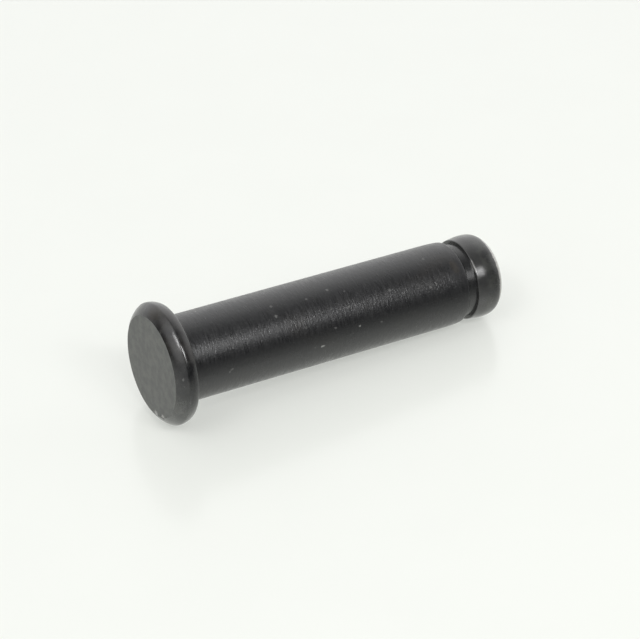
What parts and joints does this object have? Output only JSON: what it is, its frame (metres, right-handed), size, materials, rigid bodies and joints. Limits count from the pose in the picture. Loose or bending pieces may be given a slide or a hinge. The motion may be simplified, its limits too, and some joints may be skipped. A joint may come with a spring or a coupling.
{
  "type": "footpeg pivot pin",
  "caption": "Headed pivot pin with a flat round head, a plain bearing shank, a retaining clip groove and a rounded collar at its end, in black oxide steel.",
  "frame": {"origin": "centre of the flat on the head's face, the lowest point of the pin as it stands on its head", "axes": "+Z along the pin's axis, from the head to the rounded end; X and Y are free, because the pin is turned"},
  "size_m": [0.0114, 0.0114, 0.0355],
  "materials": {
    "black_oxide_steel": "satin black oxide over turned steel"
  },
  "bodies": {
    "root": {"pivot_pin": "black_oxide_steel"}
  },
  "joints": []
}
